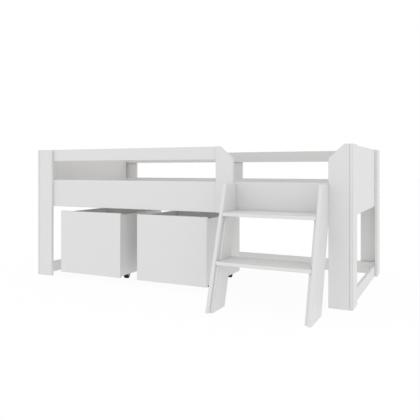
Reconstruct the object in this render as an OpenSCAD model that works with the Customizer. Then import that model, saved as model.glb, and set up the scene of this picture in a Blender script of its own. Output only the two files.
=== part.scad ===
// Low single bed in white laminated board, with a front ladder and two rolling storage boxes.
// The bed stands on Z = 0, its length runs along X and its front faces -Y.

/* [Bed] */
// Overall length of the bed
bed_len = 1960; // [1600:10:2200]
// Overall depth of the bed, without the ladder
bed_wid = 960; // [800:10:1200]
// Height of the posts, the end panels and the guard rails
bed_h = 788; // [740:1:900]
// Thickness of every laminated board of the bed and of the boxes
board_t = 15; // [12:1:18]

/* [Posts] */
// Width of a post board that faces the front or the back
post_face_w = 101; // [90:1:140]
// Width of a post board that faces the side
post_side_w = 115; // [100:1:150]
// Left edge of the front middle post, from the left end of the bed
mid_post_x = 1247; // [1230:1:1300]
// Left edge of the back middle stile, from the left end of the bed
back_stile_x = 918; // [700:1:1100]
// Width of the corner that is cut off the two posts beside the ladder
corner_cut_w = 76; // [40:1:80]
// Height of the corner that is cut off the two posts beside the ladder
corner_cut_h = 66; // [40:1:100]

/* [Rails] */
// Height of the top edge of the side rails
rail_top = 602; // [560:1:640]
// Height of a side rail board
rail_h = 166; // [140:1:180]
// Height of a guard rail board
guard_h = 70; // [50:1:90]
// Length of the front guard rail that lies behind the middle post
guard_lap = 24; // [20:1:26]
// Height of the bottom rails at the two ends
end_rail_h = 67; // [50:1:90]
// Height of the bottom rail at the back
back_rail_h = 75; // [50:1:90]

/* [Slatted base] */
// Height of the cleats' lower edge above the lower edge of the side rails
cleat_lift = 8; // [0:1:20]
// Depth of a cleat, away from its side rail
cleat_w = 20; // [18:1:24]
// Height of a cleat
cleat_h = 30; // [24:1:40]
// Number of slats
slat_count = 14; // [8:1:18]
// Width of a slat
slat_w = 70; // [50:1:80]
// Thickness of a slat
slat_t = 14; // [12:1:18]
// Distance from an end panel to the nearest slat and to the cleats
base_end_gap = 12; // [6:1:40]
// Distance from a slat's end to the side rail
slat_end_gap = 3; // [1:1:6]

/* [Ladder] */
// Thickness of a ladder stringer
stringer_t = 17; // [15:1:22]
// Depth of a stringer, measured along the floor
stringer_d = 187; // [180:1:220]
// Distance from the bed's front face to the foot of the ladder
ladder_reach = 336; // [300:1:380]
// Distance that the ladder leans back per unit of height
ladder_lean = 0.35; // [0.3:0.01:0.4]
// Height of the top of the ladder
ladder_h = 594; // [560:1:600]
// Distance between the left stringer and the middle post, and between the backboard and each post
ladder_side_gap = 1; // [0.3:0.1:1.5]
// Width by which the right stringer laps the face of the post beside it
ladder_lap = 2; // [0:1:6]
// Height of the lower tread's top face
tread_low = 229; // [200:1:235]
// Height of the upper tread's top face
tread_up = 455; // [430:1:460]
// Thickness of a tread
tread_t = 18; // [15:1:22]
// Depth of a tread
tread_d = 169; // [140:1:180]
// Distance from a stringer's front edge back to the lower supports
support_in_low = 15; // [5:1:40]
// Distance from a stringer's front edge back to the upper supports
support_in_up = 32; // [5:1:50]
// Distance from a stringer's back edge forward to the supports
support_back_in = 36; // [34:1:60]

/* [Storage boxes] */
// Width of a box
box_w = 446; // [380:1:460]
// Depth of a box, with its front panel
box_d = 462; // [400:1:600]
// Height of the front panel's top edge above the floor
box_top = 410; // [340:1:425]
// Distance by which the front panel stands above the side and back panels
box_side_drop = 10; // [0:1:20]
// Height of the front panel's lower edge above the floor
box_front_z = 33; // [25:1:40]
// Height of the lower edge of the side and back panels above the floor
box_side_z = 41; // [40:1:50]
// Height of the bottom board's lower face above the floor
box_bottom_z = 52; // [51:0.5:54]
// Left edge of the left box, from the left end of the bed
left_box_x = 189; // [150:1:230]
// Left edge of the right box, from the left end of the bed
right_box_x = 750; // [720:1:780]

/* [Casters] */
// Diameter of a caster wheel
wheel_d = 40; // [34:1:40]
// Width of a caster wheel
wheel_w = 22; // [12:1:22]
// Distance from the swivel axis back to the wheel's axle
caster_trail = 24; // [18:1:26]
// Distance from a box's side to the swivel axis
caster_side = 55; // [50:1:80]
// Distance from a box's front face to the front swivel axis
caster_front = 121; // [80:1:140]
// Distance from a box's front face to the back swivel axis
caster_back = 415; // [330:1:415]
// Width of the square mounting plate
plate_w = 40; // [38:1:50]
// Thickness of the mounting plate
plate_t = 2.5; // [2:0.5:3]
// Thickness of the sheet that the fork is made of
fork_t = 2.5; // [2:0.5:3]
// Diameter of the wheel's axle
axle_d = 6; // [5:0.5:8]
// Diameter of the kingpin that the fork swivels on
kingpin_d = 8; // [6:0.5:10]

/* [Fixings] */
// Diameter of a board screw
screw_d = 4; // [3:0.5:5]
// Length of a board screw under its head
screw_len = 26; // [22:1:28]
// Length under its head of a screw that holds the ladder
ladder_screw_len = 50; // [45:1:55]
// Diameter of a board screw's head
screw_head_d = 8; // [6:0.5:10]
// Height of a board screw's head
screw_head_h = 2.2; // [1.5:0.1:3]
// Length of a caster plate screw under its head
plate_screw_len = 13; // [10:1:15]
// Diameter of a dowel
dowel_d = 8; // [6:1:8]
// Length of a dowel
dowel_len = 30; // [26:1:34]
// Depth that a dowel reaches into a board's face
dowel_face_depth = 9; // [7:1:10]
// Diameter of a connecting bolt
bolt_d = 6; // [5:1:7]
// Length of a connecting bolt under its head
bolt_len = 62; // [55:1:70]
// Diameter of a connecting bolt's head
bolt_head_d = 10; // [9:0.5:11]
// Height of a connecting bolt's head
bolt_head_h = 2; // [1.5:0.1:3]
// Diameter of a barrel nut
nut_d = 10; // [9:1:12]
// Length of a barrel nut
nut_len = 12; // [10:1:13]
// Distance from an end panel's upright edge to the barrel nut's axis
nut_inset = 36; // [30:1:40]

/* [Clearances] */
// Gap between an end bottom rail and the back bottom rail
low_rail_gap = 0.5; // [0.2:0.1:2]
// Radial clearance of a fixed screw, bolt, nut or dowel in its hole
fix_clear = 0.1; // [0.05:0.05:0.2]
// Radial clearance of a turning pin in its bore
run_clear = 0.05; // [0.03:0.01:0.08]
// Gap between the faces that turn against each other in a caster
swivel_gap = 0.3; // [0.2:0.1:0.5]
// Gap between the wheel and a fork cheek
wheel_gap = 1; // [0.5:0.1:2]
// Gap between the wheel's tread and the fork's top
tread_gap = 2; // [2:0.5:5]

/* [Hidden] */
$fn = 32;

white = [0.93, 0.93, 0.93];
pine = [0.85, 0.72, 0.52];
beech = [0.80, 0.62, 0.42];
steel = [0.70, 0.71, 0.73];
black = [0.08, 0.08, 0.09];
dark_rubber = [0.05, 0.05, 0.05];

// Length by which a cut reaches past the face that it starts from
cut = 1;
half = bed_len / 2;
back = bed_wid;

// Side rails and end panels share their lower edge
rail_z = rail_top - rail_h;
guard_z = bed_h - guard_h;
// The rails end at the posts' side boards, and the end panels stand between the rails
rail_end = half - board_t;
// Inner faces of the end panels and of the rails
end_in = half - 2 * board_t;
front_in = 2 * board_t;
back_in = back - 2 * board_t;

cleat_z = rail_z + cleat_lift;
slat_z = cleat_z + cleat_h;
slat_pitch = (2 * (end_in - base_end_gap) - slat_w) / (slat_count - 1);

// Left edge of the right front post's face board and right edge of the middle post
mid_post_left = mid_post_x - half;
mid_post_right = mid_post_left + post_face_w;
ladder_post_left = half - board_t - post_face_w;
ladder_left = mid_post_right + ladder_side_gap;
ladder_right = ladder_post_left + ladder_lap;
stile_left = back_stile_x - half;
guard_end = mid_post_left + guard_lap;

// Stack of a caster from the floor up
axle_z = wheel_d / 2;
fork_top_in = wheel_d + tread_gap;
fork_top_out = fork_top_in + fork_t;
plate_z = box_bottom_z - plate_t;
fork_in_w = wheel_w + 2 * wheel_gap;
cheek_r = 8;
axle_head_d = axle_d + 3;
axle_head_h = 1.5;
axle_play = 0.1;
kingpin_head_d = kingpin_d + 3;
kingpin_head_h = 1.5;
pocket_d = kingpin_head_d + 1.5;
pocket_depth = 3;
// Depth by which a sunk head lies below the face
sunk_gap = 0.3;
plate_screw_in = 6.5;

// Origin at the middle of the floor rectangle that the bed and the ladder cover
origin_y = (bed_wid - ladder_reach) / 2;
module place() { translate([0, -origin_y, 0]) children(); }

// Points a shape that stands on Z along one of the row's axes
module aim(p, dir) {
    turn = dir == "+x" ? [0, 90, 0] : dir == "-x" ? [0, -90, 0]
         : dir == "+y" ? [-90, 0, 0] : dir == "-y" ? [90, 0, 0]
         : dir == "-z" ? [180, 0, 0] : [0, 0, 0];
    translate(p) rotate(turn) children();
}

// A board between two corners
module board(low, high) { translate(low) cube(high - low); }

// A screw under its head: its head rests on the face at p and its shank points along dir
module screw(p, dir, len = screw_len) {
    aim(p, dir) union() {
        cylinder(d = screw_d, h = len);
        translate([0, 0, -screw_head_h]) cylinder(d = screw_head_d, h = screw_head_h);
    }
}
module screw_bore(p, dir, len = screw_len) {
    aim(p, dir) translate([0, 0, -cut]) cylinder(d = screw_d + 2 * fix_clear, h = len + cut + 0.5);
}
// A screw's hole with a pocket that sinks its head
module sunk_bore(p, dir) {
    screw_bore(p, dir);
    aim(p, dir) translate([0, 0, -screw_head_h - sunk_gap - cut])
        cylinder(d = screw_head_d + 2 * fix_clear, h = screw_head_h + sunk_gap + cut);
}

// A dowel that crosses the face at p: dowel_face_depth lies before p and the rest after it
module dowel(p, dir) {
    aim(p, dir) translate([0, 0, -dowel_face_depth]) cylinder(d = dowel_d, h = dowel_len);
}
module dowel_bore(p, dir) {
    aim(p, dir) translate([0, 0, -dowel_face_depth - 0.5])
        cylinder(d = dowel_d + 2 * fix_clear, h = dowel_len + 1);
}

module screws(list, len = screw_len) { for (s = list) screw(s[0], s[1], len); }
module screw_bores(list, len = screw_len) { for (s = list) screw_bore(s[0], s[1], len); }
module dowel_set(list) { for (s = list) dowel(s[0], s[1]); }
module dowel_bores(list) { for (s = list) dowel_bore(s[0], s[1]); }

// Heights of the fixings
rail_bolt_z = [rail_z + 34, rail_top - 32];
rail_screw_z = [rail_z + 76, rail_top - 32];
guard_mid_z = guard_z + guard_h / 2;
end_rail_mid_z = end_rail_h / 2;
back_rail_mid_z = back_rail_h / 2;
panel_screw_z = [rail_z + 24, rail_z + 174, bed_h - 38];
post_dowel_z = [150, 300, bed_h - 128, bed_h - 38];
panel_screw_y = 98;
low_rail_screw_y = [50, 95];
face_screw_x = half - 97;
stile_screw_in = 26;

// Connecting bolts, from a rail into an end panel's upright edge. Each is the end of the bed, -1 left
// or 1 right, the long side, -1 front or 1 back, and the height
front_bolts = [for (side = [-1, 1], z = rail_bolt_z) [side, -1, z]];
back_bolts = [for (side = [-1, 1], z = rail_bolt_z) [side, 1, z]];
front_guard_bolts = [[-1, -1, guard_mid_z]];
back_guard_bolts = [for (side = [-1, 1]) [side, 1, guard_mid_z]];
all_bolts = concat(front_bolts, back_bolts, front_guard_bolts, back_guard_bolts);

function inward(side) = side < 0 ? "+x" : "-x";
function outward(side) = side < 0 ? "-x" : "+x";

// Board screws, each as its head's seat and its direction
front_face_screws = [for (side = [-1, 1], z = rail_screw_z) [[side * face_screw_x, front_in, z], "-y"]];
front_guard_face_screws = [[[-face_screw_x, front_in, guard_mid_z], "-y"]];
back_face_screws = [for (side = [-1, 1], z = rail_screw_z) [[side * face_screw_x, back_in, z], "+y"]];
back_guard_face_screws = [for (side = [-1, 1]) [[side * face_screw_x, back_in, guard_mid_z], "+y"]];
mid_post_rail_screws = [for (x = [stile_screw_in, post_face_w - stile_screw_in], z = rail_screw_z)
    [[mid_post_left + x, front_in, z], "-y"]];
mid_post_guard_screws = [for (z = [guard_z + 20, bed_h - 20])
    [[guard_end - guard_lap / 2, front_in, z], "-y"]];
stile_rail_screws = [for (x = [stile_screw_in, post_face_w - stile_screw_in], z = rail_screw_z)
    [[stile_left + x, back_in, z], "+y"]];
stile_guard_screws = [for (x = [stile_screw_in, post_face_w - stile_screw_in])
    [[stile_left + x, back_in, guard_mid_z], "+y"]];
low_back_screws = [for (side = [-1, 1], x = [62, 97])
    [[side * (half - x), back_in, back_rail_mid_z], "+y"]];
ladder_screws = [for (x = [ladder_left + stringer_t / 2, ladder_right - stringer_t / 2], z = rail_screw_z)
    [[x, front_in, z], "-y"]];
backboard_screws = [for (x = [ladder_left + 60, ladder_right - 60], z = rail_screw_z)
    [[x, front_in, z], "-y"]];
cleat_screw_x = [for (i = [-2 : 2]) i * (end_in - 120) / 2];
front_cleat_screws = [for (x = cleat_screw_x) [[x, front_in + cleat_w, cleat_z + 10], "-y"]];
back_cleat_screws = [for (x = cleat_screw_x) [[x, back_in - cleat_w, cleat_z + 10], "+y"]];
slat_x = [for (i = [0 : slat_count - 1]) -end_in + base_end_gap + slat_w / 2 + i * slat_pitch];
slat_seat_z = slat_z + slat_t - screw_head_h - sunk_gap;
front_slat_screws = [for (x = slat_x) [[x, front_in + cleat_w / 2, slat_seat_z], "-z"]];
back_slat_screws = [for (x = slat_x) [[x, back_in - cleat_w / 2, slat_seat_z], "-z"]];

function end_screws(side) = concat(
    [for (y = [panel_screw_y, back - panel_screw_y], z = panel_screw_z)
        [[side * end_in, y, z], outward(side)]],
    [for (d = low_rail_screw_y, y = [d, back - d])
        [[side * end_in, y, end_rail_mid_z], outward(side)]]);

// Dowels that join a post's two boards
function post_dowels(side, y) = [for (z = post_dowel_z) [[side * (half - board_t), y, z], inward(side)]];
front_dowel_y = board_t / 2;
back_dowel_y = back - board_t / 2;

// Treads and the dowels in their ends
tread_tops = [tread_low, tread_up];
function tread_front(top) = -ladder_reach + ladder_lean * (top - tread_t / 2);
function tread_dowels(top) = [for (y = [25, tread_d / 2, tread_d - 25], end = [-1, 1])
    [[end < 0 ? ladder_left + stringer_t : ladder_right - stringer_t,
      tread_front(top) + y, top - tread_t / 2],
     end < 0 ? "+x" : "-x"]];

// The supports fill the stringers' inner faces below the treads. Each entry is a support's lower end, its
// upper end and its distance from the stringer's front edge
support_spans = [
    [0, tread_tops[0] - tread_t, support_in_low],
    [tread_tops[0], tread_tops[1] - tread_t, support_in_up]
];
function support_screws(side) = [for (s = support_spans, z = [s[0] + 50, s[1] - 50])
    [[side < 0 ? ladder_left + stringer_t + board_t - screw_head_h - sunk_gap
               : ladder_right - stringer_t - board_t + screw_head_h + sunk_gap,
      -ladder_reach + ladder_lean * z + (s[2] + stringer_d - support_back_in) / 2, z],
     outward(side)]];

// Posts

// Points of the top edge, from the right, with the left (-1) or the right (1) corner cut off
function cut_top(a, b, cut_side) =
    cut_side > 0 ? [[b, bed_h - corner_cut_h], [b - corner_cut_w, bed_h], [a, bed_h]]
    : cut_side < 0 ? [[b, bed_h], [a + corner_cut_w, bed_h], [a, bed_h - corner_cut_h]]
    : [[b, bed_h], [a, bed_h]];

// A post board that faces the front or the back, from x to the right and from z up
module face_board(x, y, z, cut_side = 0) {
    b = x + post_face_w;
    translate([0, y + board_t, 0]) rotate([90, 0, 0]) linear_extrude(board_t)
        polygon(concat([[x, z], [b, z]], cut_top(x, b, cut_side)));
}

module post_face(side, is_front, cut_side = 0) {
    x = side < 0 ? -half + board_t : half - board_t - post_face_w;
    y = is_front ? 0 : back - board_t;
    color(white) difference() {
        face_board(x, y, 0, cut_side);
        dowel_bores(post_dowels(side, is_front ? front_dowel_y : back_dowel_y));
        screw_bores([for (s = concat(is_front ? front_face_screws : back_face_screws,
                                     is_front ? front_guard_face_screws : back_guard_face_screws,
                                     is_front ? [] : low_back_screws)) if (s[0][0] * side > 0) s]);
    }
}

module post_side(side, is_front) {
    y = is_front ? 0 : back - post_side_w;
    x = side < 0 ? -half : half - board_t;
    color(white) difference() {
        board([x, y, 0], [x + board_t, y + post_side_w, bed_h]);
        dowel_bores(post_dowels(side, is_front ? front_dowel_y : back_dowel_y));
        screw_bores([for (s = end_screws(side)) if ((s[0][1] < back / 2) == is_front) s]);
    }
}

module left_front_post_face() { post_face(-1, true); }
module left_front_post_side() { post_side(-1, true); }
module right_front_post_face() { post_face(1, true, -1); }
module right_front_post_side() { post_side(1, true); }
module left_back_post_face() { post_face(-1, false); }
module left_back_post_side() { post_side(-1, false); }
module right_back_post_face() { post_face(1, false); }
module right_back_post_side() { post_side(1, false); }

module front_middle_post() {
    color(white) difference() {
        face_board(mid_post_left, 0, rail_z, 1);
        screw_bores(concat(mid_post_rail_screws, mid_post_guard_screws));
    }
}

module back_middle_stile() {
    color(white) difference() {
        face_board(stile_left, back - board_t, rail_z);
        screw_bores(concat(stile_rail_screws, stile_guard_screws));
    }
}

// Ends

// Seat of a connecting bolt's head in a rail's outer face, where a post board covers it
function bolt_seat(b) = [b[0] * (rail_end - board_t / 2), b[1] < 0 ? board_t : back - board_t, b[2]];
function bolt_way(b) = b[1] < 0 ? "+y" : "-y";
module bolt_bores(list) {
    for (b = list) aim(bolt_seat(b), bolt_way(b)) union() {
        translate([0, 0, -cut]) cylinder(d = bolt_head_d + 2 * fix_clear, h = bolt_head_h + sunk_gap + cut);
        cylinder(d = bolt_d + 2 * fix_clear, h = bolt_head_h + sunk_gap + bolt_len + cut);
    }
}
// Mouth of a barrel nut's hole in an end panel's outer face, where a post board covers it
function nut_mouth(b) = [b[0] * rail_end, b[1] < 0 ? front_in + nut_inset : back_in - nut_inset, b[2]];
module nut_bores(list) {
    for (b = list) aim(nut_mouth(b), inward(b[0]))
        translate([0, 0, -cut]) cylinder(d = nut_d + 2 * fix_clear, h = nut_len + cut + 0.8);
}

module end_panel(side) {
    x = side < 0 ? -rail_end : end_in;
    bolts = [for (b = all_bolts) if (b[0] == side) b];
    color(white) difference() {
        board([x, front_in, rail_z], [x + board_t, back_in, bed_h]);
        screw_bores([for (s = end_screws(side)) if (s[0][2] > rail_z) s]);
        bolt_bores(bolts);
        nut_bores(bolts);
    }
}

module end_bottom_rail(side) {
    x = side < 0 ? -rail_end : end_in;
    color(white) difference() {
        board([x, board_t, 0], [x + board_t, back_in - low_rail_gap, end_rail_h]);
        screw_bores([for (s = end_screws(side)) if (s[0][2] < rail_z) s]);
    }
}

module left_end_panel() { end_panel(-1); }
module right_end_panel() { end_panel(1); }

module back_bottom_rail() {
    color(white) difference() {
        board([-rail_end, back_in, 0], [rail_end, back - board_t, back_rail_h]);
        screw_bores(low_back_screws);
    }
}

module bottom_rails() {
    end_bottom_rail(-1);
    end_bottom_rail(1);
    back_bottom_rail();
}

// Rails

module front_side_rail() {
    color(white) difference() {
        board([-rail_end, board_t, rail_z], [rail_end, front_in, rail_top]);
        screw_bores(concat(front_face_screws, mid_post_rail_screws, backboard_screws, front_cleat_screws));
        screw_bores(ladder_screws, ladder_screw_len);
        bolt_bores(front_bolts);
    }
}

module back_side_rail() {
    color(white) difference() {
        board([-rail_end, back_in, rail_z], [rail_end, back - board_t, rail_top]);
        screw_bores(concat(back_face_screws, stile_rail_screws, back_cleat_screws));
        bolt_bores(back_bolts);
    }
}

module front_guard_rail() {
    color(white) difference() {
        board([-rail_end, board_t, guard_z], [guard_end, front_in, bed_h]);
        screw_bores(concat(front_guard_face_screws, mid_post_guard_screws));
        bolt_bores(front_guard_bolts);
    }
}

module back_guard_rail() {
    color(white) difference() {
        board([-rail_end, back_in, guard_z], [rail_end, back - board_t, bed_h]);
        screw_bores(concat(back_guard_face_screws, stile_guard_screws));
        bolt_bores(back_guard_bolts);
    }
}

// Slatted base

module cleats() {
    color(pine) difference() {
        for (y = [front_in, back_in - cleat_w])
            board([-end_in + base_end_gap, y, cleat_z], [end_in - base_end_gap, y + cleat_w, slat_z]);
        screw_bores(concat(front_cleat_screws, back_cleat_screws, front_slat_screws, back_slat_screws));
    }
}

module slats() {
    color(pine) for (i = [0 : slat_count - 1]) difference() {
        board([slat_x[i] - slat_w / 2, front_in + slat_end_gap, slat_z],
              [slat_x[i] + slat_w / 2, back_in - slat_end_gap, slat_z + slat_t]);
        sunk_bore(front_slat_screws[i][0], "-z");
        sunk_bore(back_slat_screws[i][0], "-z");
    }
}

// Ladder

// Distance of a stringer's front edge from the bed's front face, at a height
function stringer_front(z) = -ladder_reach + ladder_lean * z;
// Height at which a stringer's back edge turns upright, in the plane of the posts' faces
stringer_turn_z = (ladder_reach - stringer_d) / ladder_lean;

module stringer(x) {
    outline = [
        [stringer_front(0), 0],
        [stringer_front(0) + stringer_d, 0],
        [0, stringer_turn_z],
        [0, ladder_h],
        [stringer_front(ladder_h), ladder_h]
    ];
    translate([x, 0, 0]) rotate([90, 0, 90]) linear_extrude(stringer_t) polygon(outline);
}

module ladder_left_stringer() {
    color(white) difference() {
        stringer(ladder_left);
        for (top = tread_tops) dowel_bores([for (d = tread_dowels(top)) if (d[1] == "+x") d]);
        screw_bores([for (s = ladder_screws) if (s[0][0] < ladder_left + stringer_t) s], ladder_screw_len);
        screw_bores(support_screws(-1));
    }
}

module ladder_right_stringer() {
    color(white) difference() {
        stringer(ladder_right - stringer_t);
        for (top = tread_tops) dowel_bores([for (d = tread_dowels(top)) if (d[1] == "-x") d]);
        screw_bores([for (s = ladder_screws) if (s[0][0] > ladder_right - stringer_t) s], ladder_screw_len);
        screw_bores(support_screws(1));
    }
}

module tread(top) {
    y = tread_front(top);
    color(white) difference() {
        board([ladder_left + stringer_t, y, top - tread_t], [ladder_right - stringer_t, y + tread_d, top]);
        dowel_bores(tread_dowels(top));
    }
}
module ladder_lower_tread() { tread(tread_tops[0]); }
module ladder_upper_tread() { tread(tread_tops[1]); }

// A support on a stringer's inner face, parallel with the stringer's edges
module support(side, s) {
    front = s[2];
    deep = stringer_d - support_back_in;
    x = side < 0 ? ladder_left + stringer_t : ladder_right - stringer_t - board_t;
    outline = [
        [stringer_front(s[0]) + front, s[0]],
        [stringer_front(s[0]) + deep, s[0]],
        [stringer_front(s[1]) + deep, s[1]],
        [stringer_front(s[1]) + front, s[1]]
    ];
    color(white) difference() {
        translate([x, 0, 0]) rotate([90, 0, 90]) linear_extrude(board_t) polygon(outline);
        for (b = support_screws(side)) if (b[0][2] > s[0] && b[0][2] < s[1]) sunk_bore(b[0], b[1]);
    }
}
module ladder_supports() { for (side = [-1, 1], s = support_spans) support(side, s); }

// The board between the two posts that the stringers stand against, on the side rail's face
module ladder_backboard() {
    color(white) difference() {
        board([ladder_left, 0, rail_z], [ladder_post_left - ladder_side_gap, board_t, rail_top]);
        screw_bores(backboard_screws);
        screw_bores(ladder_screws, ladder_screw_len);
    }
}

// Fixings of the bed

// Each connector is a bolt from the rail and the barrel nut that it screws into
module rail_connectors() {
    color(steel) for (b = all_bolts) {
        aim(bolt_seat(b), bolt_way(b)) translate([0, 0, sunk_gap]) union() {
            cylinder(d = bolt_head_d, h = bolt_head_h);
            cylinder(d = bolt_d, h = bolt_head_h + bolt_len);
        }
        difference() {
            aim(nut_mouth(b), inward(b[0])) translate([0, 0, 0.5]) cylinder(d = nut_d, h = nut_len);
            bolt_bores([b]);
        }
    }
}

module board_screws() {
    color(steel) screws(ladder_screws, ladder_screw_len);
    color(steel) screws(concat(
        front_face_screws, front_guard_face_screws, back_face_screws, back_guard_face_screws,
        mid_post_rail_screws, mid_post_guard_screws, stile_rail_screws, stile_guard_screws,
        low_back_screws, backboard_screws, support_screws(-1), support_screws(1),
        front_cleat_screws, back_cleat_screws, front_slat_screws, back_slat_screws,
        end_screws(-1), end_screws(1)));
}

module dowels() {
    color(beech) {
        for (side = [-1, 1], y = [front_dowel_y, back_dowel_y]) dowel_set(post_dowels(side, y));
        for (top = tread_tops) dowel_set(tread_dowels(top));
    }
}

// Storage boxes. x is the box's left edge and every panel is named by its place seen from the front

function box_in(x) = [x + board_t, x + box_w - board_t];
box_back_in = box_d - board_t;
box_side_top = box_top - box_side_drop;
box_dowel_z = [box_bottom_z + 60, (box_bottom_z + box_side_top) / 2 + 10, box_side_top - 50];
box_bottom_mid = box_bottom_z + board_t / 2;
box_third = [0.2, 0.5, 0.8];

// Dowels between the sides and the front, the sides and the back, and round the bottom
function side_front_dowels(x, side) = [for (z = box_dowel_z)
    [[side < 0 ? x + board_t / 2 : x + box_w - board_t / 2, board_t, z], "+y"]];
function side_back_dowels(x, side) = [for (z = box_dowel_z)
    [[side < 0 ? box_in(x)[0] : box_in(x)[1], box_d - board_t / 2, z], side < 0 ? "+x" : "-x"]];
function side_bottom_dowels(x, side) = [for (k = box_third)
    [[side < 0 ? box_in(x)[0] : box_in(x)[1], board_t + k * (box_back_in - board_t), box_bottom_mid],
     side < 0 ? "+x" : "-x"]];
function front_bottom_dowels(x) = [for (k = box_third)
    [[x + board_t + k * (box_w - 2 * board_t), board_t, box_bottom_mid], "+y"]];
function back_bottom_dowels(x) = [for (k = box_third)
    [[x + board_t + k * (box_w - 2 * board_t), box_back_in, box_bottom_mid], "-y"]];

// Swivel axes of a box's casters
function caster_xy(x, side, is_front) =
    [side < 0 ? x + caster_side : x + box_w - caster_side, is_front ? caster_front : caster_back];
function all_casters(x) = [for (is_front = [true, false], side = [-1, 1]) caster_xy(x, side, is_front)];
function plate_screw_seats(c) = [for (i = [-1, 1], j = [-1, 1])
    [c[0] + i * (plate_w / 2 - plate_screw_in), c[1] + j * (plate_w / 2 - plate_screw_in), plate_z]];

module box_front(x) {
    color(white) difference() {
        board([x, 0, box_front_z], [x + box_w, board_t, box_top]);
        for (side = [-1, 1]) dowel_bores(side_front_dowels(x, side));
        dowel_bores(front_bottom_dowels(x));
    }
}

module box_side(x, side) {
    low = side < 0 ? x : x + box_w - board_t;
    color(white) difference() {
        board([low, board_t, box_side_z], [low + board_t, box_d, box_side_top]);
        dowel_bores(side_front_dowels(x, side));
        dowel_bores(side_back_dowels(x, side));
        dowel_bores(side_bottom_dowels(x, side));
    }
}

module box_back(x) {
    color(white) difference() {
        board([box_in(x)[0], box_back_in, box_side_z], [box_in(x)[1], box_d, box_side_top]);
        for (side = [-1, 1]) dowel_bores(side_back_dowels(x, side));
        dowel_bores(back_bottom_dowels(x));
    }
}

module box_bottom(x) {
    color(white) difference() {
        board([box_in(x)[0], board_t, box_bottom_z], [box_in(x)[1], box_back_in, box_bottom_z + board_t]);
        for (side = [-1, 1]) dowel_bores(side_bottom_dowels(x, side));
        dowel_bores(front_bottom_dowels(x));
        dowel_bores(back_bottom_dowels(x));
        for (c = all_casters(x)) {
            translate([c[0], c[1], box_bottom_z - cut]) cylinder(d = pocket_d, h = pocket_depth + cut);
            for (p = plate_screw_seats(c)) screw_bore(p, "+z", plate_screw_len);
        }
    }
}

module box_dowels(x) {
    color(beech) {
        for (side = [-1, 1]) {
            dowel_set(side_front_dowels(x, side));
            dowel_set(side_back_dowels(x, side));
            dowel_set(side_bottom_dowels(x, side));
        }
        dowel_set(front_bottom_dowels(x));
        dowel_set(back_bottom_dowels(x));
    }
}

module box_caster_screws(x) {
    color(steel) for (c = all_casters(x), p = plate_screw_seats(c)) screw(p, "+z", plate_screw_len);
}

module box_caster_plates(x) {
    color(black) for (c = all_casters(x)) difference() {
        translate([c[0] - plate_w / 2, c[1] - plate_w / 2, plate_z]) cube([plate_w, plate_w, plate_t]);
        translate([c[0], c[1], plate_z - cut])
            cylinder(d = kingpin_d + 2 * run_clear, h = plate_t + 2 * cut);
        for (p = plate_screw_seats(c)) screw_bore(p, "+z", plate_screw_len);
    }
}

left_x = left_box_x - half;
right_x = right_box_x - half;
module left_box_front() { box_front(left_x); }
module left_box_back() { box_back(left_x); }
module left_box_left_side() { box_side(left_x, -1); }
module left_box_right_side() { box_side(left_x, 1); }
module left_box_bottom() { box_bottom(left_x); }
module left_box_dowels() { box_dowels(left_x); }
module left_box_caster_screws() { box_caster_screws(left_x); }
module left_box_caster_plates() { box_caster_plates(left_x); }
module right_box_front() { box_front(right_x); }
module right_box_back() { box_back(right_x); }
module right_box_left_side() { box_side(right_x, -1); }
module right_box_right_side() { box_side(right_x, 1); }
module right_box_bottom() { box_bottom(right_x); }
module right_box_dowels() { box_dowels(right_x); }
module right_box_caster_screws() { box_caster_screws(right_x); }
module right_box_caster_plates() { box_caster_plates(right_x); }

// Casters. Each is drawn about its swivel axis and trails towards the back

fork_out_w = fork_in_w + 2 * fork_t;
fork_nose = 13;
// Reach of the fork behind the swivel axis, at its top and at the axle
fork_tail = caster_trail + 3;
cheek_tail = caster_trail + cheek_r;
boss_d = 20;
// The boss and the kingpin start inside the fork's top
boss_z = fork_top_out - cut;
kingpin_head_z = box_bottom_z + swivel_gap;

module fork_cheek(x) {
    outline = [
        [0, fork_top_in], [fork_tail, fork_top_in],
        [cheek_tail, axle_z], [caster_trail - cheek_r, axle_z]
    ];
    translate([x, 0, 0]) rotate([90, 0, 90]) linear_extrude(fork_t) difference() {
        union() {
            polygon(outline);
            translate([caster_trail, axle_z]) circle(r = cheek_r);
        }
        translate([caster_trail, axle_z]) circle(d = axle_d + 2 * fix_clear);
    }
}

module caster_fork() {
    color(black) union() {
        fork_cheek(-fork_out_w / 2);
        fork_cheek(fork_in_w / 2);
        translate([-fork_out_w / 2, -fork_nose, fork_top_in])
            cube([fork_out_w, fork_nose + fork_tail, fork_t]);
        translate([0, 0, boss_z]) cylinder(d = boss_d, h = plate_z - swivel_gap - boss_z);
        translate([0, 0, boss_z]) cylinder(d = kingpin_d, h = kingpin_head_z + kingpin_head_h / 2 - boss_z);
        translate([0, 0, kingpin_head_z]) cylinder(d = kingpin_head_d, h = kingpin_head_h);
    }
    // The axle is a rivet of its own
    head_x = fork_out_w / 2 + axle_play + axle_head_h;
    color(steel) translate([-head_x, caster_trail, axle_z]) rotate([0, 90, 0]) union() {
        cylinder(d = axle_head_d, h = axle_head_h);
        cylinder(d = axle_d, h = 2 * head_x);
        translate([0, 0, 2 * head_x - axle_head_h]) cylinder(d = axle_head_d, h = axle_head_h);
    }
}

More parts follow.
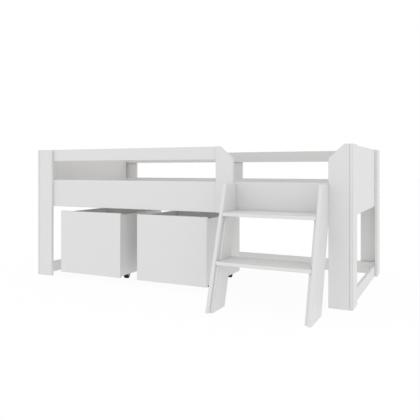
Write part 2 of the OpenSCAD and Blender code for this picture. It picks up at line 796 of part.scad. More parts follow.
// The wheel is turned about its axle: a rounded tread, a dished face and a hub
tread_round = 3;
hub_r = 7.5;
rim_r = wheel_d / 2 - 4;
dish = 1.5;
module caster_wheel() {
    r = wheel_d / 2;
    w = wheel_w / 2;
    corner = [for (a = [0 : 15 : 90])
        [r - tread_round + tread_round * cos(a), w - tread_round + tread_round * sin(a)]];
    side = concat(corner, [[rim_r, w], [rim_r - dish, w - dish], [hub_r + dish, w - dish], [hub_r, w],
                           [axle_d / 2 + run_clear, w]]);
    mirrored = [for (i = [len(side) - 1 : -1 : 0]) [side[i][0], -side[i][1]]];
    color(dark_rubber) translate([0, caster_trail, axle_z]) rotate([0, 90, 0])
        rotate_extrude($fn = 64) polygon(concat(side, mirrored));
}

module fork_at(x, side, is_front) {
    c = caster_xy(x, side, is_front);
    translate([c[0], c[1], 0]) caster_fork();
}
module wheel_at(x, side, is_front) {
    c = caster_xy(x, side, is_front);
    translate([c[0], c[1], 0]) caster_wheel();
}

module left_box_front_left_fork() { fork_at(left_x, -1, true); }
module left_box_front_right_fork() { fork_at(left_x, 1, true); }
module left_box_back_left_fork() { fork_at(left_x, -1, false); }
module left_box_back_right_fork() { fork_at(left_x, 1, false); }
module right_box_front_left_fork() { fork_at(right_x, -1, true); }
module right_box_front_right_fork() { fork_at(right_x, 1, true); }
module right_box_back_left_fork() { fork_at(right_x, -1, false); }
module right_box_back_right_fork() { fork_at(right_x, 1, false); }
module left_box_front_left_wheel() { wheel_at(left_x, -1, true); }
module left_box_front_right_wheel() { wheel_at(left_x, 1, true); }
module left_box_back_left_wheel() { wheel_at(left_x, -1, false); }
module left_box_back_right_wheel() { wheel_at(left_x, 1, false); }
module right_box_front_left_wheel() { wheel_at(right_x, -1, true); }
module right_box_front_right_wheel() { wheel_at(right_x, 1, true); }
module right_box_back_left_wheel() { wheel_at(right_x, -1, false); }
module right_box_back_right_wheel() { wheel_at(right_x, 1, false); }

place() left_front_post_face();
place() left_front_post_side();
place() right_front_post_face();
place() right_front_post_side();
place() left_back_post_face();
place() left_back_post_side();
place() right_back_post_face();
place() right_back_post_side();
place() front_middle_post();
place() back_middle_stile();
place() left_end_panel();
place() right_end_panel();
place() bottom_rails();
place() front_side_rail();
place() back_side_rail();
place() front_guard_rail();
place() back_guard_rail();
place() cleats();
place() slats();
place() ladder_left_stringer();
place() ladder_right_stringer();
place() ladder_lower_tread();
place() ladder_upper_tread();
place() ladder_supports();
place() ladder_backboard();
place() rail_connectors();
place() board_screws();
place() dowels();
place() left_box_front();
place() left_box_back();
place() left_box_left_side();
place() left_box_right_side();
place() left_box_bottom();
place() left_box_dowels();
place() left_box_caster_screws();
place() left_box_caster_plates();
place() right_box_front();
place() right_box_back();
place() right_box_left_side();
place() right_box_right_side();
place() right_box_bottom();
place() right_box_dowels();
place() right_box_caster_screws();
place() right_box_caster_plates();
place() left_box_front_left_fork();
place() left_box_front_right_fork();
place() left_box_back_left_fork();
place() left_box_back_right_fork();
place() right_box_front_left_fork();
place() right_box_front_right_fork();
place() right_box_back_left_fork();
place() right_box_back_right_fork();
place() left_box_front_left_wheel();
place() left_box_front_right_wheel();
place() left_box_back_left_wheel();
place() left_box_back_right_wheel();
place() right_box_front_left_wheel();
place() right_box_front_right_wheel();
place() right_box_back_left_wheel();
place() right_box_back_right_wheel();
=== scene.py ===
import bpy
import bmesh
import math
from mathutils import Matrix, Vector


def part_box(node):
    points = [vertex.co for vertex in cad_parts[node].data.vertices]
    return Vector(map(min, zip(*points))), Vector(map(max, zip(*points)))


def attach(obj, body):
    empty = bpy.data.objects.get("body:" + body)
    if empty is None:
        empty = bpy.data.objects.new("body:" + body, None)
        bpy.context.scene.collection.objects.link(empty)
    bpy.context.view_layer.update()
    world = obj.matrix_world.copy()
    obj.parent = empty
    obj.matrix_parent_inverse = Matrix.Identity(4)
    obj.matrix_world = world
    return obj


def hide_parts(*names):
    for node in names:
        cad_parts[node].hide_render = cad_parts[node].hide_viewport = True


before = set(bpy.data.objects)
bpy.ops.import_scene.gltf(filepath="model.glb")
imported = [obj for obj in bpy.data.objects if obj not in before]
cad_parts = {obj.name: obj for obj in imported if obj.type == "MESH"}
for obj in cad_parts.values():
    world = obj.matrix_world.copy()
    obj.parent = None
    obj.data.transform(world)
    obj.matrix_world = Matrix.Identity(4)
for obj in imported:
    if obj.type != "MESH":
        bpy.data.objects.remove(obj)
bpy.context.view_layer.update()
MM = 0.001

# Camera. The photograph is taken level, from the front right, a little below the guard rails.
cam_data = bpy.data.cameras.new("camera")
cam = bpy.data.objects.new("camera", cam_data)
bpy.context.scene.collection.objects.link(cam)
cam.location = (1.4061, -2.7629, 0.6660)
cam.rotation_euler = (math.radians(90), 0, math.radians(25.5567))
cam_data.sensor_width = 36
cam_data.lens = 43.63
cam_data.shift_y = -0.0966
bpy.context.scene.camera = cam


# Materials
class Shader:
    """A Principled material with short calls for the nodes that feed it."""

    def __init__(self, name):
        self.mat = bpy.data.materials.new(name)
        self.mat.use_nodes = True
        self.tree = self.mat.node_tree
        self.bsdf = self.tree.nodes["Principled BSDF"]

    def node(self, kind, **values):
        n = self.tree.nodes.new(kind)
        for k, v in values.items():
            if k in n.inputs:
                n.inputs[k].default_value = v
            else:
                setattr(n, k, v)
        return n

    def link(self, a, b):
        self.tree.links.new(a, b)

    def set(self, **values):
        for k, v in values.items():
            self.bsdf.inputs[k.replace("_", " ")].default_value = v

    def uv(self, scale=(1, 1, 1)):
        """UV coordinates run in metres: U across a board and V along it."""
        coord = self.node("ShaderNodeTexCoord")
        place = self.node("ShaderNodeMapping", Scale=scale)
        self.link(coord.outputs["UV"], place.inputs["Vector"])
        return place.outputs["Vector"]

    def noise(self, at, scale, detail=2.0, rough=0.5):
        n = self.node("ShaderNodeTexNoise", Scale=scale, Detail=detail, Roughness=rough)
        self.link(at, n.inputs["Vector"])
        return n.outputs["Fac"]

    def ramp(self, fac, *stops):
        n = self.node("ShaderNodeValToRGB")
        while len(n.color_ramp.elements) < len(stops):
            n.color_ramp.elements.new(0.5)
        for e, (pos, colour) in zip(n.color_ramp.elements, stops):
            e.position = pos
            e.color = (*colour, 1) if isinstance(colour, tuple) else (colour, colour, colour, 1)
        self.link(fac, n.inputs["Fac"])
        return n.outputs["Color"]

    def mix(self, fac, a, b, blend="MIX"):
        n = self.node("ShaderNodeMix", data_type="RGBA", blend_type=blend)
        for slot, value in ((0, fac), (6, a), (7, b)):
            if isinstance(value, bpy.types.NodeSocket):
                self.link(value, n.inputs[slot])
            elif slot:
                n.inputs[slot].default_value = (*value, 1)
            else:
                n.inputs[slot].default_value = value
        return n.outputs[2]

    def bump(self, height, distance):
        n = self.node("ShaderNodeBump", Strength=1.0, Distance=distance)
        self.link(height, n.inputs["Height"])
        self.link(n.outputs["Normal"], self.bsdf.inputs["Normal"])

    def colour(self, socket):
        self.link(socket, self.bsdf.inputs["Base Color"])

    def roughness(self, socket):
        self.link(socket, self.bsdf.inputs["Roughness"])


def laminate(name, shade, rough_low, rough_high, pearl):
    """White melamine: a fine pearl texture, a faint unevenness of shade and of gloss."""
    s = Shader(name)
    at = s.uv()
    cloud = s.noise(at, 5.0, 3.0)
    s.colour(s.ramp(cloud, (0.3, tuple(c * 0.985 for c in shade)), (0.7, shade)))
    gloss = s.noise(at, 60.0, 2.0)
    s.roughness(s.ramp(gloss, (0.3, rough_low), (0.7, rough_high)))
    s.bump(s.noise(at, 1400.0, 3.0, 0.6), pearl)
    return s.mat


def pine():
    """Pale planed pine: year rings drawn out along the slat, a few knots, pores and a tint per slat."""
    s = Shader("pine")
    at = s.uv((1.0, 0.05, 1.0))
    rings = s.node("ShaderNodeTexWave", Scale=42.0, Distortion=9.0, Detail=3.0)
    rings.inputs["Detail Scale"].default_value = 1.4
    rings.wave_type = "BANDS"
    s.link(at, rings.inputs["Vector"])
    grain = s.ramp(rings.outputs["Fac"], (0.1, (0.57, 0.53, 0.47)), (0.62, (0.53, 0.48, 0.41)),
                   (0.95, (0.46, 0.39, 0.31)))
    tint = s.noise(s.uv((0.6, 0.02, 1.0)), 1.2, 0.0)
    warm = s.mix(s.ramp(tint, (0.35, 0.0), (0.65, 1.0)), (1.0, 0.99, 0.975), (0.92, 0.90, 0.87))
    fibre = s.ramp(s.noise(s.uv((1.0, 0.03, 1.0)), 900.0, 2.0), (0.3, 0.90), (0.7, 1.0))
    knots = s.node("ShaderNodeTexVoronoi", Scale=1.6, Randomness=1.0)
    s.link(s.uv((4.0, 1.0, 1.0)), knots.inputs["Vector"])
    knot = s.ramp(knots.outputs["Distance"], (0.0, 1.0), (0.035, 1.0), (0.06, 0.0))
    wood = s.mix(1.0, s.mix(1.0, grain, warm, "MULTIPLY"), fibre, "MULTIPLY")
    s.colour(s.mix(knot, wood, (0.26, 0.15, 0.08)))
    s.roughness(s.ramp(rings.outputs["Fac"], (0.0, 0.62), (1.0, 0.48)))
    s.bump(s.noise(s.uv((1.0, 0.03, 1.0)), 500.0, 3.0), 0.00006)
    return s.mat


def beech():
    """Dowel wood: short brown flecks on a plain ground."""
    s = Shader("beech")
    coord = s.node("ShaderNodeTexCoord")
    fleck = s.noise(coord.outputs["Object"], 700.0, 2.0)
    s.colour(s.ramp(fleck, (0.42, (0.46, 0.27, 0.13)), (0.56, (0.66, 0.44, 0.25))))
    s.roughness(s.ramp(fleck, (0.3, 0.55), (0.7, 0.65)))
    return s.mat


def zinc():
    """Bright zinc plate with a faint cloudy grain."""
    s = Shader("zinc")
    coord = s.node("ShaderNodeTexCoord")
    grain = s.noise(coord.outputs["Object"], 260.0, 3.0)
    s.colour(s.ramp(grain, (0.3, (0.60, 0.61, 0.62)), (0.7, (0.74, 0.75, 0.76))))
    s.roughness(s.ramp(grain, (0.3, 0.26), (0.7, 0.40)))
    s.set(Metallic=1.0)
    return s.mat


def black(name, low, high, rough, grain_scale, depth):
    """Black caster parts: powder coat or moulded rubber, with fine grain and dust in the hollows."""
    s = Shader(name)
    coord = s.node("ShaderNodeTexCoord")
    grain = s.noise(coord.outputs["Object"], grain_scale, 3.0)
    dust = s.noise(coord.outputs["Object"], 45.0, 4.0, 0.65)
    base = s.ramp(grain, (0.3, low), (0.7, high))
    s.colour(s.mix(s.ramp(dust, (0.56, 0.0), (0.85, 0.25)), base, (0.055, 0.055, 0.052)))
    s.set(Specular_IOR_Level=0.18)
    s.roughness(s.ramp(grain, (0.3, rough - 0.06), (0.7, rough + 0.06)))
    s.bump(grain, depth)
    return s.mat


WHITE = laminate("white_laminate", (0.76, 0.76, 0.76), 0.40, 0.50, 0.000012)
BAND = laminate("edge_band", (0.77, 0.77, 0.77), 0.30, 0.38, 0.00001)
# Painted shade: a darker grey for the boards' rounded arrises and the board screws' cross recesses, standing
# in for the shade along edges, seams and hollows
PAINTED_SHADE = laminate("arris_painted_shade", (0.52, 0.51, 0.50), 0.50, 0.60, 0.00002)
PINE = pine()
BEECH = beech()
ZINC = zinc()
HEAD = laminate("white_head", (0.79, 0.79, 0.785), 0.30, 0.40, 0.00001)
COAT = black("black_coat", (0.008, 0.008, 0.009), (0.014, 0.014, 0.015), 0.46, 900.0, 0.00004)
RUBBER = black("black_rubber", (0.006, 0.006, 0.006), (0.010, 0.010, 0.010), 0.72, 500.0, 0.00005)
HUB = black("black_nylon", (0.012, 0.012, 0.013), (0.018, 0.018, 0.019), 0.42, 300.0, 0.00002)


# Mesh helpers
def new_piece(node, bm, materials, body):
    """Makes the dressed piece that stands in for a CAD node, flat shaded, and rides it on its body."""
    name = node + "_dressed"
    mesh = bpy.data.meshes.new(name)
    bmesh.ops.recalc_face_normals(bm, faces=bm.faces)
    for f in bm.faces:
        f.smooth = False
    bm.to_mesh(mesh)
    bm.free()
    for m in materials:
        mesh.materials.append(m)
    obj = bpy.data.objects.new(name, mesh)
    bpy.context.scene.collection.objects.link(obj)
    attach(obj, body)
    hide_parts(node)
    return obj


def shift_of(name):
    """A fixed offset per piece, so that no two boards show the same texture."""
    n = sum((i + 1) * ord(c) for i, c in enumerate(name))
    return (n * 0.37) % 17.0, (n * 0.71) % 23.0


def lay_uv(bm, faces, along, name):
    """Lays UVs in metres on flat faces, with V along the given axis."""
    uv = bm.loops.layers.uv.verify()
    du, dv = shift_of(name)
    for f in faces:
        n = [abs(c) for c in f.normal]
        drop = n.index(max(n))
        keep = [a for a in range(3) if a != drop]
        v_axis = along if along in keep else keep[1]
        u_axis = keep[0] if keep[1] == v_axis else keep[1]
        for loop in f.loops:
            loop[uv].uv = (loop.vert.co[u_axis] + du, loop.vert.co[v_axis] + dv)


def prism(bm, outline, axis, low, high):
    """Extrudes an outline along an axis. Returns the new edges and faces, with the two outlines first."""
    a, b = [i for i in range(3) if i != axis]

    def point(p, t):
        co = [0.0, 0.0, 0.0]
        co[a], co[b], co[axis] = p[0], p[1], t
        return co

    bottom = [bm.verts.new(point(p, low)) for p in outline]
    top = [bm.verts.new(point(p, high)) for p in outline]
    faces = [bm.faces.new(bottom[::-1]), bm.faces.new(top)]
    count = len(outline)
    for i in range(count):
        j = (i + 1) % count
        faces.append(bm.faces.new((bottom[i], bottom[j], top[j], top[i])))
    bmesh.ops.recalc_face_normals(bm, faces=faces)
    edges = list(dict.fromkeys(e for f in faces for e in f.edges))
    return edges, faces


def add_board(bm, outline, axis, low, high, along, name, arris=1.0 * MM, segments=2):
    """A laminated board: faces 0, banded edges 1, arrises 2. On most boards the arrises take a darker grey,
    painted shade along the edges and in the seams between boards.
    """
    edges, faces = prism(bm, outline, axis, low, high)
    for i, f in enumerate(faces):
        f.material_index = 0 if i < 2 else 1
    made = bmesh.ops.bevel(bm, geom=edges, offset=arris, segments=segments, profile=0.5, affect="EDGES",
                           material=2, clamp_overlap=True)
    lay_uv(bm, {f for f in bm.faces if f.is_valid and (f in made["faces"] or f in faces)}, along, name)


HAIR = 0.15 * MM


def drawn_in(lo, hi):
    """A board's corners, drawn in by half a hairline joint."""
    inset = Vector((HAIR, HAIR, HAIR))
    return lo + inset, hi - inset


# The line material colours the arrises: by default the darker grey of painted shade
def board(node, body, outline=None, axis=None, along=None, arris=1.0 * MM, line=PAINTED_SHADE):
    """A board for its CAD node: a plain one from the node's box, or an outline across its thickness."""
    lo, hi = drawn_in(*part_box(node))
    size = hi - lo
    if axis is None:
        axis = list(size).index(min(size))
    a, b = [i for i in range(3) if i != axis]
    if along is None:
        along = a if size[a] > size[b] else b
    if outline is None:
        outline = [(lo[a], lo[b]), (hi[a], lo[b]), (hi[a], hi[b]), (lo[a], hi[b])]
    bm = bmesh.new()
    add_board(bm, outline, axis, lo[axis], hi[axis], along, node, arris)
    return new_piece(node, bm, [WHITE, BAND, line], body)


def loose_parts(node):
    """The separate solids of a CAD node, each as a list of its vertices' places."""
    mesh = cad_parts[node].data
    bm = bmesh.new()
    bm.from_mesh(mesh)
    bmesh.ops.remove_doubles(bm, verts=bm.verts, dist=1e-6)
    left = set(bm.verts)
    parts = []
    for start in bm.verts:
        if start not in left:
            continue
        left.discard(start)
        stack = [start]
        part = []
        while stack:
            v = stack.pop()
            part.append(v.co.copy())
            for e in v.link_edges:
                w = e.other_vert(v)
                if w in left:
                    left.discard(w)
                    stack.append(w)
        parts.append(part)
    bm.free()
    parts.sort(key=lambda p: [round(sum(c[i] for c in p) / len(p), 4) for i in range(3)])
    return parts


def span(points):
    """The lowest and highest corner of the box round some points."""
    lo = Vector([min(p[i] for p in points) for i in range(3)])
    hi = Vector([max(p[i] for p in points) for i in range(3)])
    return lo, hi


def lathe(bm, profile, segments, matrix, material=0):
    """Turns a profile of (radius, height) about Z and places it. A radius of 0 closes the end."""
    rings = []
    for r, z in profile:
        if r < 1e-7:
            rings.append([bm.verts.new(matrix @ Vector((0, 0, z)))])
        else:
            rings.append([bm.verts.new(matrix @ Vector((r * math.cos(t), r * math.sin(t), z)))
                          for t in (2 * math.pi * k / segments for k in range(segments))])
    for p, q in zip(rings, rings[1:]):
        for k in range(segments):
            m = (k + 1) % segments
            if len(p) == 1 and len(q) == 1:
                continue
            if len(p) == 1:
                f = bm.faces.new((p[0], q[k], q[m]))
            elif len(q) == 1:
                f = bm.faces.new((p[k], p[m], q[0]))
            else:
                f = bm.faces.new((p[k], p[m], q[m], q[k]))
            f.material_index = material
            f.smooth = True


def turn_to(direction):
    """A turn that points +Z in a direction."""
    return Vector((0, 0, 1)).rotation_difference(Vector(direction)).to_matrix().to_4x4()


# Boards of the bed
BED = "bed_frame"
for plain in ("left_front_post_face", "left_front_post_side", "right_front_post_side", "left_back_post_face",
              "left_back_post_side", "right_back_post_face", "right_back_post_side", "back_middle_stile",
              "left_end_panel", "right_end_panel", "front_side_rail", "back_side_rail", "front_guard_rail",
              "back_guard_rail", "ladder_lower_tread", "ladder_upper_tread", "ladder_backboard"):
    board(plain, BED)

CUT_W, CUT_H = 76 * MM, 66 * MM
lo, hi = drawn_in(*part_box("right_front_post_face"))
board("right_front_post_face", BED, axis=1, outline=[
    (lo.x, lo.z), (hi.x, lo.z), (hi.x, hi.z), (lo.x + CUT_W, hi.z), (lo.x, hi.z - CUT_H)])
lo, hi = drawn_in(*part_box("front_middle_post"))
board("front_middle_post", BED, axis=1, outline=[
    (lo.x, lo.z), (hi.x, lo.z), (hi.x, hi.z - CUT_H), (hi.x - CUT_W, hi.z), (lo.x, hi.z)])

# The ladder's stringers lean, and a fine gap shows behind their upright backs
STRINGER_D, LEAN, BACK_GAP = 187 * MM, 0.35, 1.2 * MM
for node in ("ladder_left_stringer", "ladder_right_stringer"):
    lo, hi = drawn_in(*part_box(node))
    back = hi.y - BACK_GAP
    board(node, BED, axis=0, along=2, arris=0.6 * MM, line=BAND, outline=[
        (lo.y, lo.z), (lo.y + STRINGER_D, lo.z), (back, lo.z + (back - lo.y - STRINGER_D) / LEAN),
        (back, hi.z), (lo.y + LEAN * hi.z, hi.z)])


# Boards that share a node
def boards(node, spans, lean=0.0):
    """Boards from pairs of corners, in one piece. A lean slants their front and back edges."""
    bm = bmesh.new()
    for i, ends in enumerate(spans):
        lo, hi = drawn_in(*ends)
        size = hi - lo
        axis = list(size).index(min(size))
        a, b = [k for k in range(3) if k != axis]
        shift = lean * size.z
        add_board(bm, [(lo[a], lo[b]), (hi[a] - shift, lo[b]), (hi[a], hi[b]), (lo[a] + shift, hi[b])], axis,
                  lo[axis], hi[axis], a if size[a] > size[b] else b, "%s_%d" % (node, i * 5))
    # the arrises take the darker grey of painted shade
    return new_piece(node, bm, [WHITE, BAND, PAINTED_SHADE], BED)


boards("ladder_supports", [span(part) for part in loose_parts("ladder_supports")], LEAN)
BOARD_T, END_RAIL_H = 15 * MM, 67 * MM
lo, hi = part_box("bottom_rails")
boards("bottom_rails", [
    (Vector((lo.x, lo.y, lo.z)), Vector((lo.x + BOARD_T, hi.y - BOARD_T, END_RAIL_H))),
    (Vector((hi.x - BOARD_T, lo.y, lo.z)), Vector((hi.x, hi.y - BOARD_T, END_RAIL_H))),
    (Vector((lo.x, hi.y - BOARD_T, lo.z)), Vector((hi.x, hi.y, hi.z)))])

# The cleats and the slats: each slat is a board of its own in one piece
for node, radius in (("cleats", 1.5 * MM), ("slats", 2.5 * MM)):
    bm = bmesh.new()
    for i, part in enumerate(loose_parts(node)):
        lo, hi = span(part)
        size = hi - lo
        along = list(size).index(max(size))
        add_board(bm, [(lo.x, lo.y), (hi.x, lo.y), (hi.x, hi.y), (lo.x, hi.y)], 2, lo.z, hi.z, along,
                  "%s_%d" % (node, i * 7), radius, 3)
    new_piece(node, bm, [PINE, PINE, PINE], BED)


# Screws. A pan head's dome and the cross let into it, as shares of the head's radius and height. The dome
# goes from the rim up to the flat on top, and the cross narrows to its foot
DOME = ((1.0, 1.0), (1.0, 0.55), (0.93, 0.25), (0.78, 0.07))
ARM, ARM_HALF, CROSS_DEPTH, CROSS_FOOT = 0.50, 0.13, 0.6, 0.8
HEAD_SIDES, SHANK_SIDES = 24, 12


def add_screw(bm, head_end, direction, head_r, head_h, shank_r, length):
    """A pan head with a cross recess on a plain shank. The recess faces away from the direction. Its walls
    and floor take the second material, which darkens the recess as painted shade.
    """
    m = Matrix.Translation(head_end) @ turn_to(-Vector(direction))
    lathe(bm, [(head_r * r, -head_h * drop) for r, drop in DOME], HEAD_SIDES, m)
    lathe(bm, [(head_r, -head_h), (shank_r, -head_h), (shank_r, -length + shank_r), (0, -length)],
          SHANK_SIDES, m)
    # the flat top: a disc with a cross let into it
    flat_r, top = head_r * DOME[-1][0], -head_h * DOME[-1][1]
    arm, half = head_r * ARM, head_r * ARM_HALF
    cross = [(arm, half), (half, half), (half, arm), (-half, arm), (-half, half), (-arm, half),
             (-arm, -half), (-half, -half), (-half, -arm), (half, -arm), (half, -half), (arm, -half)]
    outer = [bm.verts.new(m @ Vector((flat_r * math.cos(t), flat_r * math.sin(t), top)))
             for t in (2 * math.pi * k / HEAD_SIDES for k in range(HEAD_SIDES))]
    rim = [bm.verts.new(m @ Vector((x, y, top))) for x, y in cross]
    foot = top - head_h * CROSS_DEPTH
    deep = [bm.verts.new(m @ Vector((x * CROSS_FOOT, y * CROSS_FOOT, foot))) for x, y in cross]
    edges = [bm.edges.new(pair) for ring in (outer, rim) for pair in zip(ring, ring[1:] + ring[:1])]
    bmesh.ops.triangle_fill(bm, edges=edges, use_beauty=True, use_dissolve=False)
    for k in range(len(cross)):
        j = (k + 1) % len(cross)
        bm.faces.new((rim[k], rim[j], deep[j], deep[k])).material_index = 1
    bm.faces.new(deep).material_index = 1


SCREW_HEAD_R, SCREW_HEAD_H, SHANK_R = 4.0 * MM, 2.2 * MM, 2.0 * MM


def screws(node, body, materials):
    """A screw for each solid of the node, with its head at the end where the solid is wide."""
    bm = bmesh.new()
    for part in loose_parts(node):
        lo, hi = span(part)
        size = hi - lo
        axis = list(size).index(max(size))
        middle = (lo + hi) / 2
        across = [i for i in range(3) if i != axis]
        wide = [p for p in part if max(abs(p[i] - middle[i]) for i in across) > SCREW_HEAD_R * 0.9]
        at_low = sum(p[axis] for p in wide) / len(wide) < middle[axis]
        direction = Vector((0, 0, 0))
        direction[axis] = 1 if at_low else -1
        head = middle.copy()
        head[axis] = lo[axis] if at_low else hi[axis]
        add_screw(bm, head, direction, SCREW_HEAD_R, SCREW_HEAD_H, SHANK_R, size[axis])
    return new_piece(node, bm, materials, body)


BOXES = "left_box", "right_box"
# The cross recesses are painted darker as shade: grey in the white heads of the board screws, black in the
# zinc heads of the caster screws
screws("board_screws", BED, [HEAD, PAINTED_SHADE])
for box in BOXES:
    screws(box + "_caster_screws", box, [ZINC, COAT])

# The bolts and the dowels keep their CAD shapes
for node, material in (("rail_connectors", ZINC), ("dowels", BEECH), ("left_box_dowels", BEECH),
                       ("right_box_dowels", BEECH)):
    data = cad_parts[node].data
    data.materials.clear()
    data.materials.append(material)

# Storage boxes
for box in BOXES:
    for part in ("front", "back", "left_side", "right_side", "bottom"):
        board("%s_%s" % (box, part), box)


# Casters. Each wheel trails behind its kingpin
TRAIL = 24 * MM
PLATE_CORNER = 5 * MM
WHEEL_SIDES, HUB_RIBS = 64, 6
HUB_IN, BORE_R, AXLE_R = 4 * MM, 3.05 * MM, 3 * MM
RIVET_R, RIVET_H = 4.5 * MM, 1.5 * MM
FORK_TOP_IN, FORK_TOP_OUT = 42 * MM, 44.5 * MM
FORK_NOSE, FORK_TAIL = 13 * MM, 27 * MM
CHEEK_T, CHEEK_EYE_R, FORK_CORNER = 2.5 * MM, 8 * MM, 6 * MM


def rounded(cx, cy, half_x, half_y, r, steps=5):
    """A rectangle's outline with rounded corners."""
    points = []
    for sx, sy, start in ((1, 1, 0), (-1, 1, 90), (-1, -1, 180), (1, -1, 270)):
        for k in range(steps + 1):
            t = math.radians(start + 90 * k / steps)
            points.append((cx + sx * (half_x - r) + r * math.cos(t),
                           cy + sy * (half_y - r) + r * math.sin(t)))
    return points


def caster_plates(box):
    """The box's four mounting plates, with rounded corners and soft rims."""
    node = box + "_caster_plates"
    bm = bmesh.new()
    for part in loose_parts(node):
        lo, hi = span(part)
        c, half = (lo + hi) / 2, (hi - lo) / 2
        edges, faces = prism(bm, rounded(c.x, c.y, half.x, half.y, PLATE_CORNER), 2, lo.z, hi.z)
        rim = [e for e in edges if abs(e.verts[0].co.z - e.verts[1].co.z) < 1e-7]
        bmesh.ops.bevel(bm, geom=rim, offset=0.4 * MM, segments=2, profile=0.5, affect="EDGES")
    new_piece(node, bm, [COAT], box)


def tyre(r, w):
    """Across the tyre of a wheel of radius r and half width w: round shoulders and two grooves."""
    half = [(r - HUB_IN, w - 0.6 * MM), (r - 3.2 * MM, w), (r - 1.6 * MM, w - 0.3 * MM),
            (r - 0.4 * MM, w - 1.4 * MM), (r, w - 3.0 * MM), (r, 2.6 * MM), (r - 0.7 * MM, 2.3 * MM),
            (r - 0.7 * MM, 1.5 * MM), (r, 1.2 * MM)]
    return [(x, -y) for x, y in half] + half[::-1]


def dish(r, w, side):
    """Across one face of the hub: a rim, a dished web and a boss round the bore."""
    half = [(r - HUB_IN, w - 0.6 * MM), (r - 4.2 * MM, w - 1.8 * MM), (r - 5.4 * MM, w - 2.4 * MM),
            (9.5 * MM, w - 2.4 * MM), (8.2 * MM, w - 1.4 * MM), (7.4 * MM, w - 0.3 * MM), (6.8 * MM, w),
            (BORE_R, w)]
    return [(x, side * y) for x, y in half]


def add_rib(bm, place, reach, side, w):
    """A rib of the hub's web, from the boss out to the rim, narrower at its crest."""
    vs = []
    for half, depth in ((0.7 * MM, 2.9 * MM), (0.5 * MM, 1.5 * MM)):
        for x, y in ((8 * MM, -half), (reach, -half), (reach, half), (8 * MM, half)):
            vs.append(bm.verts.new(place @ Vector((x, y, side * (w - depth)))))
    for quad in ((4, 5, 6, 7), (0, 1, 5, 4), (1, 2, 6, 5), (2, 3, 7, 6), (3, 0, 4, 7)):
        bm.faces.new([vs[i] for i in quad]).material_index = 1


def wheel(stem):
    """A rubber tyre with two grooves on a ribbed nylon hub."""
    lo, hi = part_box(stem + "_wheel")
    c = (lo + hi) / 2
    r, w = (hi.z - lo.z) / 2, (hi.x - lo.x) / 2
    spin = Matrix.Translation(c) @ turn_to((1, 0, 0))
    bm = bmesh.new()
    lathe(bm, tyre(r, w), WHEEL_SIDES, spin, 0)
    for side in (-1, 1):
        lathe(bm, dish(r, w, side), WHEEL_SIDES, spin, 1)
        for k in range(HUB_RIBS):
            turn = Matrix.Rotation(math.radians(360 / HUB_RIBS * k + 30), 4, "Z")
            add_rib(bm, spin @ turn, r - 4.4 * MM, side, w)
    lathe(bm, [(BORE_R, -w), (BORE_R, w)], 32, spin, 1)
    piece = new_piece(stem + "_wheel", bm, [RUBBER, HUB], stem + "_caster_wheel")
    for p in piece.data.polygons:
        p.use_smooth = len(p.vertices) == 4 and p.area < 2e-5


def fork(stem):
    """Two pressed cheeks, a top, the ball race round the kingpin and the riveted axle."""
    lo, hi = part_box(stem + "_fork")
    wheel_lo, wheel_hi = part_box(stem + "_wheel")
    c = (wheel_lo + wheel_hi) / 2
    sx, sy = c.x, c.y - TRAIL
    out = (hi.x - lo.x) / 2
    cheek_out = out - 1.6 * MM
    nose, tail = sy - FORK_NOSE, sy + FORK_TAIL
    bm = bmesh.new()
    for side in (-1, 1):
        x0, x1 = sorted((sx + side * cheek_out, sx + side * (cheek_out - CHEEK_T)))
        eye = [math.radians(a) for a in range(20, 181, 16)]
        outline = [(sy - 10 * MM, FORK_TOP_IN), (sy - 9 * MM, FORK_TOP_IN - 3 * MM)]
        outline += [(c.y - CHEEK_EYE_R * math.cos(a), c.z - CHEEK_EYE_R * math.sin(a)) for a in eye]
        outline += [(tail, FORK_TOP_IN)]
        edges, faces = prism(bm, outline, 0, x0, x1)
        bmesh.ops.bevel(bm, geom=edges, offset=0.5 * MM, segments=2, profile=0.5, affect="EDGES")
    lid = rounded(sx, (nose + tail) / 2, cheek_out, (tail - nose) / 2, FORK_CORNER)
    edges, faces = prism(bm, lid, 2, FORK_TOP_IN - 0.2 * MM, FORK_TOP_OUT)
    rim = [e for e in edges if min(v.co.z for v in e.verts) > FORK_TOP_OUT - 1e-6]
    bmesh.ops.bevel(bm, geom=rim, offset=1.0 * MM, segments=3, profile=0.5, affect="EDGES")
    race = [(11.5, FORK_TOP_OUT / MM - 0.5), (11.5, FORK_TOP_OUT / MM + 1.2), (10.6, FORK_TOP_OUT / MM + 2.0),
            (10.0, FORK_TOP_OUT / MM + 2.2), (9.6, 49.2), (4.0, 49.2), (4.0, 52.4), (5.5, 52.4), (5.5, 53.4),
            (5.0, 53.8), (0, 53.8)]
    lathe(bm, [(x * MM, z * MM) for x, z in race], 40, Matrix.Translation((sx, sy, 0)))
    rivet = [(0, out), (2.6 * MM, out), (4.2 * MM, out - 0.6 * MM), (RIVET_R, out - RIVET_H),
             (AXLE_R, out - RIVET_H)]
    axle = [(x, -z) for x, z in rivet] + rivet[::-1]
    lathe(bm, axle, 24, Matrix.Translation(c) @ turn_to((1, 0, 0)), 1)
    piece = new_piece(stem + "_fork", bm, [COAT, ZINC], stem + "_caster")
    for p in piece.data.polygons:
        p.use_smooth = p.area < 1.2e-5


for box in BOXES:
    caster_plates(box)
for box in BOXES:
    for place in ("front_left", "front_right", "back_left", "back_right"):
        wheel("%s_%s" % (box, place))
        fork("%s_%s" % (box, place))

# Floor, a hair below the feet so that no face of the bed lies in it
FLOOR_REACH, FLOOR_DROP = 60, 0.6 * MM
bm = bmesh.new()
bmesh.ops.create_grid(bm, x_segments=1, y_segments=1, size=FLOOR_REACH)
mesh = bpy.data.meshes.new("floor")
bm.to_mesh(mesh)
bm.free()
floor = bpy.data.objects.new("floor", mesh)
floor.location = (0, 0, -FLOOR_DROP)
bpy.context.scene.collection.objects.link(floor)

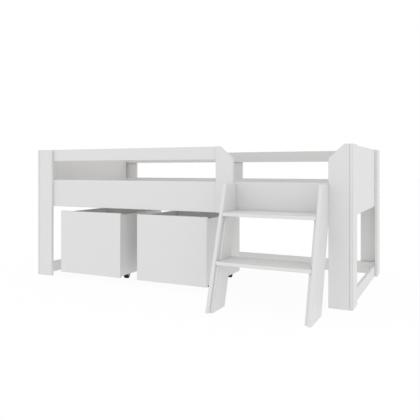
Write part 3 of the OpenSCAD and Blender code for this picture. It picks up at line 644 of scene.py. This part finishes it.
# Light. The world lights the bed evenly and shows as white. Light that bounces off the floor reaches low
# boards too, and to the camera the floor is white with the bed's soft shadow
SKY = 0.965
BOUNCE_SHADE, BOUNCE_GLOW = 0.35, 0.655
SHADOW_SHADE = 0.08
SHADOW_GLOW = 1.0 - SHADOW_SHADE * SKY


def seen_directly(tree, *kinds):
    """1 on the rays of these kinds, 0 on the light's own rays."""
    path = tree.nodes.new("ShaderNodeLightPath")
    out = path.outputs["Is Camera Ray"]
    for kind in kinds:
        either = tree.nodes.new("ShaderNodeMath")
        either.operation = "MAXIMUM"
        tree.links.new(out, either.inputs[0])
        tree.links.new(path.outputs[kind], either.inputs[1])
        out = either.outputs[0]
    return out


def pick_shader(tree, fac, unseen, seen, surface):
    """Feeds a surface with one shader where the ray is seen directly and with another where it isn't."""
    mix = tree.nodes.new("ShaderNodeMixShader")
    tree.links.new(fac, mix.inputs[0])
    tree.links.new(unseen, mix.inputs[1])
    tree.links.new(seen, mix.inputs[2])
    tree.links.new(mix.outputs[0], surface)


def glowing(tree, shade, glow):
    """A matt grey with a glow of its own."""
    matt = tree.nodes.new("ShaderNodeBsdfDiffuse")
    matt.inputs["Color"].default_value = (shade, shade, shade, 1)
    light = tree.nodes.new("ShaderNodeEmission")
    light.inputs["Strength"].default_value = glow
    both = tree.nodes.new("ShaderNodeAddShader")
    tree.links.new(matt.outputs[0], both.inputs[0])
    tree.links.new(light.outputs[0], both.inputs[1])
    return both.outputs[0]


def background(tree, strength):
    node = tree.nodes.new("ShaderNodeBackground")
    node.inputs["Color"].default_value = (1, 1, 1, 1)
    node.inputs["Strength"].default_value = strength
    return node.outputs[0]


mat = bpy.data.materials.new("floor")
mat.use_nodes = True
tree = mat.node_tree
tree.nodes.clear()
out = tree.nodes.new("ShaderNodeOutputMaterial")
pick_shader(tree, seen_directly(tree, "Is Glossy Ray"), glowing(tree, BOUNCE_SHADE, BOUNCE_GLOW),
            glowing(tree, SHADOW_SHADE, SHADOW_GLOW), out.inputs["Surface"])
mesh.materials.append(mat)

world = bpy.data.worlds.new("world")
bpy.context.scene.world = world
world.use_nodes = True
tree = world.node_tree
tree.nodes.clear()
out = tree.nodes.new("ShaderNodeOutputWorld")
pick_shader(tree, seen_directly(tree, "Is Glossy Ray", "Is Transmission Ray"), background(tree, SKY),
            background(tree, 1.0), out.inputs["Surface"])


bpy.context.scene.view_settings.view_transform = "Standard"
